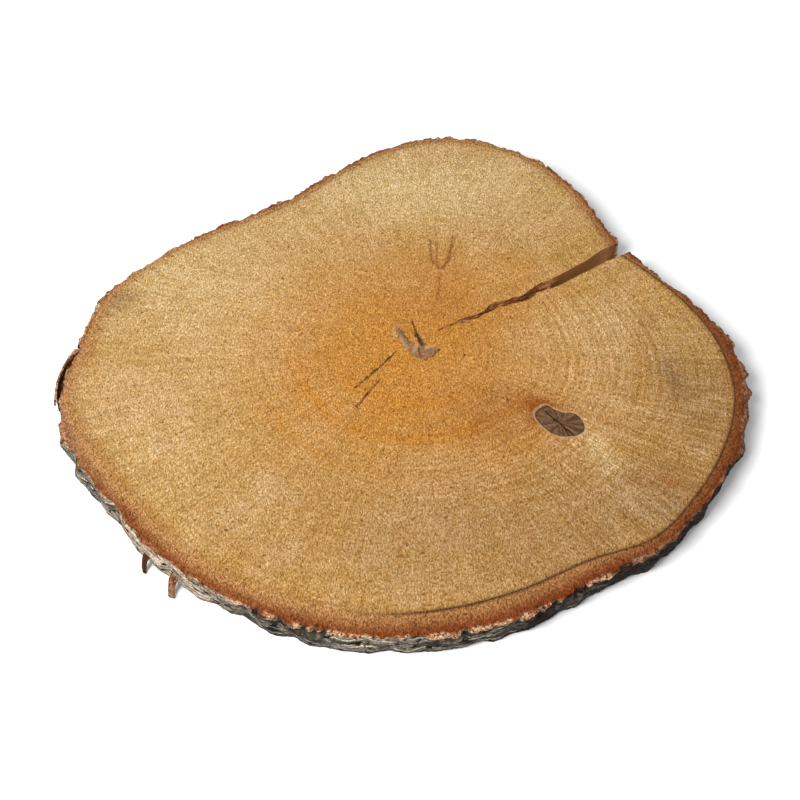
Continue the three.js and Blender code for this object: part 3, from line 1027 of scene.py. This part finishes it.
def bark_relief(degrees, height):
    """How far the outer bark stands out of its smooth outline: the solid's waves and lumps,
    then plates that are long round the trunk, papery steps, small crumbs and chips."""
    degrees, height = np.broadcast_arrays(np.asarray(degrees, float) % 360, height)
    angle = np.radians(degrees)
    out = np.zeros(angle.shape)
    for times, lean, size, start in BARK_WAVES:
        out += size * np.sin(times * angle + lean * height / THICKNESS + start)
    for at, level, size, width in BARK_LUMPS:
        out += size * np.exp(-((degrees - at) / width) ** 2
                             - ((height - level) / LUMP_HALF_HEIGHT) ** 2)
    places = np.stack([TRUNK_RADIUS * angle, np.zeros(out.shape), height], axis=-1)
    plates = uneven(places, (9, 1, 3.2), 31)
    layers = uneven(places, (30, 1, 2.6), 32)
    layers = (np.floor(3 * layers) + smooth_step(3 * layers % 1, 0.7, 1.0)) / 3
    crumbs = uneven(places, (1.7, 1, 1.2), 33)
    calm = 1 - 0.55 * smooth_step(degrees, 190, 205) * (1 - smooth_step(degrees, 236, 250))
    rim = smooth_step(height, 12, 15) * uneven(places, (2.4, 1, 1.9), 34)
    rough = calm * (0.3 * plates + 0.4 * layers + 0.9 * rim + 0.4 * crumbs)
    return out + rough - NOTCH_DEEP * notch_share(degrees, height)


def bark_points(share, depth, height):
    """Points of the bark at shares round, shares of its depth and a height share."""
    share, depth, height = np.broadcast_arrays(share, depth, height)
    level = THICKNESS * height

    def reach_at(degrees):
        """Reach of the rough surface at each angle."""
        full = bark_depth(degrees) - np.interp(level, ROUNDED_HEIGHT, ROUNDED_IN)
        if np.any(depth > 0):
            full = full + bark_relief(degrees, level)
        return wood_reach(degrees) + SEAM + full * depth

    degrees, reach = rim_of(
        share, level, lambda at: wood_reach(at) + depth * bark_depth(at), reach_at)
    plan = polar(degrees, reach)
    places = np.concatenate([plan, level[..., None]], axis=-1)
    crumble = smooth_step(depth, 0.72, 1.0)
    drop = 0.1 * uneven(places, 1.7, 41) + crumble * (0.7 * uneven(places, 2.6, 42) - 0.5)
    return leaning(plan, level + smooth_step(height, 0.9, 1.0) * np.minimum(drop, 0.2))


BARK_COLUMNS = 1700
bark_shares = np.linspace(0, 1, BARK_COLUMNS + 1)
across = np.concatenate([np.linspace(0, 0.7, 6), np.linspace(0.78, 1, 5)])
down = np.concatenate([[1, 0.985, 0.96], np.linspace(0.92, 0.08, 20), [0.04, 0.0]])
profile = [(depth, 1.0) for depth in across]
profile += [(1.0, height) for height in down[1:]]
profile += [(depth, 0.0) for depth in (0.6, 0.0)]
bark_loops = [bark_points(bark_shares, depth, height) for depth, height in profile]
INNER, OUTER = 0, 1
count_top, count_side = len(across), len(down) - 1
bark_patches = [
    (*skin(bark_loops[:count_top]), INNER),
    (*skin(bark_loops[count_top - 1:count_top + count_side]), OUTER),
    (*skin(bark_loops[count_top + count_side - 1:] + bark_loops[:1]), INNER)]
for end in (0, -1):
    edge = np.array([loop[end] for loop in bark_loops + bark_loops[:1]])
    middle = edge.mean(axis=0)
    cap_points, cap_faces = skin(
        [middle[None]] + [middle + (edge - middle) * size for size in (0.3, 0.6, 0.85, 1.0)])
    flip = -1 if end == 0 else 1
    bark_patches.append((cap_points, [face[:, ::flip] for face in cap_faces], INNER))
print("bark profile points:", len(profile))

# %% [markdown]
# Seen on the sawn face, inner bark is reddish brown and fades into the wood on the left, with a
# thin dark line and painted shade on the right. The outer bark changes round the trunk: pale and
# papery at the left, charcoal at the front, and nearly black at the right, partly painted shade.

# %% Bark finishes
# Of these colours, shaded is painted shade on the right of the band, away from the light; the rest are
# the bark's own colours.
INNER_STAINS_AND_SHADE = dict(fading="BE8A52", outward="7C380C", shaded="763A10", cambium="54300F")


def crumb_colour(tree, place):
    """The pinkish cream of broken bark, dark brown in its pits."""
    pits = clouds(tree, place, 1.6, 2.0, 0.6, 0.8)
    broken = painted(tree, graded(tree, pits, 0.46, 0.58), "A46C46", "DCB890")
    return painted(tree, graded(tree, pits, 0.37, 0.46), "3A2214", broken)


def inner_bark():
    """Bark as the saw left it: fuzzy like the wood, but redder, and crumbly towards its rim."""
    material, tree, shader, place = finish("inner_bark")
    tones, relief = speckled(tree, place, 1.4)
    broad = clouds(tree, place, 12.0, 3.0)
    base = painted(tree, graded(tree, broad, 0.3, 0.7), "8C5028", "A2673A")
    base = toned(tree, stained_and_shaded(tree, base, INNER_STAINS_AND_SHADE), tones, warm=0.6)
    base = layered(tree, base, [
        # the nearly black paint in the rim's notches is painted shade in those hollows
        (kept(tree, "crumbly"), crumb_colour(tree, place)), (kept(tree, "notched"), "241A14")])
    surfaced(tree, shader, base, 0.9, relief, 0.9)
    return material


def outer_bark():
    """Flaking outer bark: blotches, bright streaks and dark crevices, all drawn out round the
    trunk, with crumbs at its rim and painted shade darkening it near the floor."""
    material, tree, shader, place = finish("outer_bark")
    unrolled = node(tree, "ShaderNodeCombineXYZ", {
        "X": kept(tree, "along"), "Y": kept(tree, "height")}).outputs[0]
    streaks, blotches, crevice = (
        clouds(tree, vector(tree, "MULTIPLY", unrolled, {1: squeeze}), *sizes)
        for squeeze, *sizes in (((0.07, 0.8, 1), 1.3, 4.0, 0.65), ((0.4, 1, 1), 6.0, 3.0, 0.6),
                                ((0.35, 0.8, 1), 2.6, 3.0, 0.6, 0.6)))
    specks = clouds(tree, place, 1.2, 3.0, 0.65)
    weathered = kept(tree, "weathered")
    bright = maths(tree, "MULTIPLY_ADD", weathered, 0.5, 0.45)
    base = painted(tree, graded(tree, blotches, 0.38, 0.64), "1C1611", "685F52")
    base = layered(tree, base, [
        (product(tree, weathered, graded(tree, blotches, 0.34, 0.56, 0.2, 0.9)), "726B5F"),
        (product(tree, bright, graded(tree, streaks, 0.55, 0.62)), "D2C7B2"),
        (kept(tree, "papery"),
         painted(tree, graded(tree, streaks, 0.36, 0.64), "6C5C4E", "BEAE98")),
        # the outer bark's own black, and painted shade on the right and back, away from the light
        (kept(tree, "black_and_shade"), "1E130D"),
        (graded(tree, crevice, 0.46, 0.40), "0E0B09"),
        # crumbs are painted browner with shade on the right
        (product(tree, kept(tree, "crumbled"), 0.9),
         stained_and_shaded(tree, crumb_colour(tree, place), dict(shaded="7E4E30"))),
        # painted shade along the lower edge, where the bark meets the floor
        (graded(tree, kept(tree, "height"), 5.0, 1.0, 0, 0.75), "221C18")])
    base = toned(tree, base, [graded(tree, specks, 0.34, 0.66, 0.45, 1.4)])
    # painted shade, nearly black, in the notches knocked out of the rim
    base = stained_and_shaded(tree, base, dict(notched="14100E"))
    surfaced(tree, shader, base, 0.92, specks, 0.9)
    return material


INNER_BARK, OUTER_BARK = inner_bark(), outer_bark()
bark = mesh_piece("bark_body", bark_patches, [INNER_BARK, OUTER_BARK])
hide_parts("bark")

# %% [markdown]
# The bark finishes change across the band, round the trunk and down its side. Each change is
# worked out from a point's angle, height and distance from the wood, and kept on the point, so
# a torn piece takes on the colours of the bark it hangs from. A piece may set some itself.

# %% Values the bark finishes read
def bark_values(piece, **changes):
    """Every number that the bark finishes read, from the places of a piece's points."""
    points = points_of(piece)
    plan, degrees, reach = upright(points)
    from_crack = past_crack(degrees)
    depth = reach - wood_reach(degrees)
    share = depth / bark_depth(degrees)
    left = arc(from_crack, 150, 262, 12)
    ragged = uneven(points, 2.6, 53)
    chunky = smooth_step(uneven(points, 8.0, 54) + 0.3 * ragged, -0.3, 0.15)
    chunky = chunky * (1 - 0.75 * arc(from_crack, 188, 240, 8)) * (1 - 0.7 * arc(from_crack, 306, 400))
    level = points[:, 2]
    into = smooth_step(share, 0.2, 0.7)
    values = dict(
        along=np.radians(from_crack) * TRUNK_RADIUS,
        height=level,
        outward=0.95 * (1 - 0.35 * left) * smooth_step(share, 0.4, 0.9),
        crumbly=(chunky * smooth_step(depth - bark_depth(degrees) + 0.8 * ragged, -2.0, -1.0)
                 + 0.4 * (1 - chunky) * arc(from_crack, 160, 204, 8) * into),
        crumbled=np.maximum(
            chunky * smooth_step(level + 1.8 * ragged, 14.2, 15.6),
            0.8 * arc(from_crack, 335, 358, 3) * smooth_step(level + 1.5 * ragged, 9, 13)),
        weathered=(0.3 * arc(from_crack, 236, 251, 4) + 0.5 * arc(from_crack, 196, 218, 6)
                   + arc(from_crack, 256, 270, 4)),
        # painted shade on the right of the inner bark, away from the soft box
        shaded=0.75 * arc(from_crack, 306, 378, 12),
        fading=(left * (1 - smooth_step(share, 0.0, 0.8)) + 0.55 * arc(from_crack, 176, 214, 8)
                + 0.45 * arc(from_crack, 50, 178, 12)
                + 0.6 * (1 - left) * (1 - smooth_step(share, 0.1, 0.65))),
        cambium=((0.35 + 0.65 * arc(from_crack, 262, 400, 12)) * (1 - left)
                 * (1 - smooth_step(depth, 0.3, 0.9))),
        papery=arc(from_crack, 215, 239, 6),
        # the outer bark's own dark, and painted shade on the right and back, away from the soft box
        black_and_shade=(0.4 * arc(from_crack, 300, 400) + 0.5 * arc(from_crack, 284, 400, 4)
               + 0.5 * arc(from_crack, 30, 150) + 0.8 * arc(from_crack, 286.5, 290.5, 1.5)),
        # the notches are painted dark as shade in their hollows
        notched=notch_share(degrees, level) * smooth_step(share, 0.7, 0.9))
    for name in ("weathered", "fading", "black_and_shade"):
        values[name] = np.clip(values[name], 0, 1)
    keep_values(piece, **{**values, **changes})


bark_values(bark)

# %% [markdown]
# On the left a strip of outer bark has lifted off and stands away from the trunk at its lower
# end, with a dark gap behind it. It is a thin bent sheet: its mid-line is the bark's own
# outline plus a half wave of lift. It swells a little at its free end and more where it still
# holds. Its outer side has the outer bark's finish, and its back and ends are torn.

# %% The lifted strip
FLAP_FROM, FLAP_TO = 180.6, 192.0
FLAP_LIFT, FLAP_SUNK, FLAP_SHEET = 2.8, 1.1, 0.8


def lifted_strip():
    """A grid out of the bark by a half wave, FLAP_LIFT * sin(pi * along), and one behind it."""
    along = np.linspace(0, 1, 61)[:, None]
    lowest = 4.0 + 10.5 * (1 - along) ** 0.5
    level = lowest + (17.8 - lowest) * np.linspace(0, 1, 15)[None, :]
    degrees = FLAP_TO + (FLAP_FROM - FLAP_TO) * along
    ragged = uneven(np.stack(np.broadcast_arrays(0, level, 0), axis=-1), 2.2, 61)
    degrees = degrees + 0.35 * ragged * (1 - along) ** 2
    places = np.stack(np.broadcast_arrays(3.3 * degrees, 0, level), axis=-1)
    rough = 0.35 * uneven(places, (6, 1, 2), 62) + 0.25 * uneven(places, 1.6, 63)
    stand = 2 + 2.6 * (1 - along) ** 4
    outer = wood_reach(degrees) + bark_depth(degrees) + FLAP_LIFT * np.sin(math.pi * along)
    outer = outer - FLAP_SUNK + stand + np.minimum(rough, 0.3)
    inner = outer - FLAP_SHEET - 0.5 * (1 - along) - 2.5 * smooth_step(along, 0.8, 1.0)
    return shell(leaning(polar(degrees, outer), level), leaning(polar(degrees, inner), level))


def sheet_piece(name, patches, front=INNER):
    """One piece from a shell's patches. Front is the finish of its outer side."""
    return mesh_piece(name, [(*patch_of, front if number == 0 else INNER)
                             for number, patch_of in enumerate(patches)], [INNER_BARK, OUTER_BARK])


lifted = sheet_piece("lifted_strip", lifted_strip(), OUTER)
bark_values(lifted, crumbly=0.7, outward=0.7, shaded=0, fading=0, cambium=0)

# %% [markdown]
# Behind the strip the bark is torn open, and its red layers fill the gap a little below the
# rim, painted dark as shade in the gap. The bed runs from inside the bark's outline to the
# strip's inner side.

# %% The torn bed behind the strip
def strip_bed():
    """A sheet between the bark and the strip, from 7 mm up to a ragged top at about 15 mm."""
    along = np.linspace(0.04, 0.96, 41)[:, None]
    degrees = FLAP_TO + (FLAP_FROM - FLAP_TO) * along
    rough = uneven(np.stack(np.broadcast_arrays(3.3 * degrees, 0, 0), axis=-1), 2.0, 66)
    level = 7 + (8.2 + 0.9 * rough) * np.linspace(0, 1, 9)[None, :]
    skirt = wood_reach(degrees) + bark_depth(degrees)
    outer = skirt + FLAP_LIFT * np.sin(math.pi * along) - FLAP_SUNK + 1.2 + 1.8 * (1 - along) ** 4
    outer, inner = outer + 0 * level, skirt - 2.5 + 0 * level
    return shell(leaning(polar(degrees, outer), level), leaning(polar(degrees, inner), level))


bed = sheet_piece("strip_bed", strip_bed())
# The bed is painted dark with shade, as the gap behind the strip lies in shadow.
bark_values(bed, crumbly=0, outward=1, shaded=1, fading=0, cambium=0, notched=0.5)

# %% [markdown]
# Two tongues of bark are torn at the lower left and curl down to the surface that the slice
# lies on. Each is a thin sheet along a curve that runs out and down, a little narrower and more
# ragged towards its edge. Both are painted dark with shade near the floor, the first most, and
# the second is partly crumbly.

# %% The torn tongues
TONGUES = [((225.0, 6.0, 3.4, 64), dict(crumbly=0.0, notched=0.65)),
           ((231.2, 7.5, 3.6, 65), dict(crumbly=0.5, notched=0.2))]
TONGUE_LEAN = 5.0


def torn_tongue(at, reach, width, seed):
    """A sheet along a curve with the ends and the pull of the solid's tongue."""
    along = np.linspace(0, 1, 29)[:, None]
    across = np.linspace(-1, 1, 13)[None, :]
    side = uneven(np.stack(np.broadcast_arrays(along * 9, across, 0), axis=-1), (1.6, 1, 1), seed)
    half = width / 2 * (1.25 - 0.3 * along ** 2) + 0.6 * side * along
    curl = 0.4 * np.sin(2.2 * across + seed) * along

    def curve(start, pull, end):
        """start*(1-t)^2 + 2*pull*t*(1-t) + end*t^2, with t the share along."""
        return start * (1 - along) ** 2 + 2 * pull * along * (1 - along) + end * along ** 2

    base = wood_reach(at) + bark_depth(at)
    turn = math.radians(at)
    out_way = np.array([math.cos(turn), math.sin(turn), 0])
    side_way = np.array([-math.sin(turn), math.cos(turn), 0])
    grids = []
    for x, z in ((curve(-3, 0.6 * reach, reach), curve(8, 6.4, 0.9)),
                 (curve(-3, 0.45 * reach, reach - 0.9), curve(7, 5.4, 0.5))):
        sideways = across * half + TONGUE_LEAN * (along ** 1.5 - 0.3)
        grid = (base + x + curl)[..., None] * out_way + sideways[..., None] * side_way
        grid[..., 2] = np.broadcast_to(z, grid.shape[:-1]) + 0.3 * side * along
        grid[..., :2] += LEAN * (1 - grid[..., 2:] / THICKNESS)
        grids.append(grid)
    return shell(*grids)


for number, (shape, values) in enumerate(TONGUES, 1):
    tongue = sheet_piece(f"torn_tongue_{number}", torn_tongue(*shape))
    # Both tongues are painted dark with shade where they hang near the floor.
    bark_values(tongue, outward=1, shaded=1, **values)

# %% [markdown]
# The rim of the bark crumbled under the saw, and papery layers stand off it at the left. Both
# are many small closed spindles: short fat ones for crumbs, long thin curved ones for paper.

# %% Rim crumbs and papery slivers
def on_bark(degrees, height, out):
    """Places on the outer bark at angles and heights, a little way out of it."""
    reach = wood_reach(degrees) + bark_depth(degrees) + bark_relief(degrees, height)
    reach = reach - np.interp(height, ROUNDED_HEIGHT, ROUNDED_IN) + out
    return leaning(polar(degrees, reach), height)


def slivers(count, start, end, level, rise, length, half_width, half_thick, lift, seed):
    """Thin pieces that run round the trunk from random angles, rising and lifting off."""
    random = np.random.default_rng(seed)
    degrees = random.uniform(start, end, count)[:, None]
    height = random.uniform(*level, count)[:, None]
    span = np.degrees(random.uniform(*length, count) / TRUNK_RADIUS)[:, None]
    along = np.linspace(0, 1, 8)[None, :]
    climb = random.uniform(*rise, count)[:, None]
    off = random.uniform(*lift, count)[:, None]
    way = random.choice([-1, 1], count)[:, None]
    at = degrees + way * span * along
    levels = np.clip(height + climb * along, 0.6, THICKNESS + 0.2)
    paths = on_bark(at, levels, -0.25 + off * along ** 2)
    width = random.uniform(*half_width, count)[:, None] * swelling(along)
    return spindles(paths, UPWARD, width, half_thick * swelling(along))


PAPER = dict(count=120, start=194, end=246, level=(2, 16.5), rise=(-0.8, 1.0), length=(8, 30),
             half_width=(0.35, 1.0), half_thick=0.14, lift=(0.1, 1.1), seed=81)
STREAKS = dict(count=90, start=246, end=300, level=(2, 14), rise=(-0.4, 0.4), length=(5, 18),
               half_width=(0.25, 0.6), half_thick=0.14, lift=(0.1, 0.5), seed=82)
CRUMBS = dict(count=900, start=39, end=389, level=(14.5, 17.5), rise=(-0.4, 0.4),
              length=(0.8, 2.8), half_width=(0.3, 0.7), half_thick=0.5, lift=(-0.2, 0.5), seed=83)
papery_slivers = mesh_piece(
    "papery_slivers", [(*slivers(**PAPER), OUTER), (*slivers(**STREAKS), OUTER)],
    [INNER_BARK, OUTER_BARK], 80)
bark_values(papery_slivers)
rim_crumbs = mesh_piece(
    "rim_crumbs", [(*slivers(**CRUMBS), INNER)], [INNER_BARK, OUTER_BARK], 60)
bark_values(rim_crumbs)

# %% [markdown]
# The floor is a plain matt white, so that it only shows the soft shadow.

# %% Floor finish
floor_material, floor_tree, floor_shader, floor_place = finish("pale_floor", FLOOR_GLOSS)
floor_shader.inputs["Base Color"].default_value = colour("FFFFFF")
floor_shader.inputs["Roughness"].default_value = 0.9
floor_data.materials.append(floor_material)
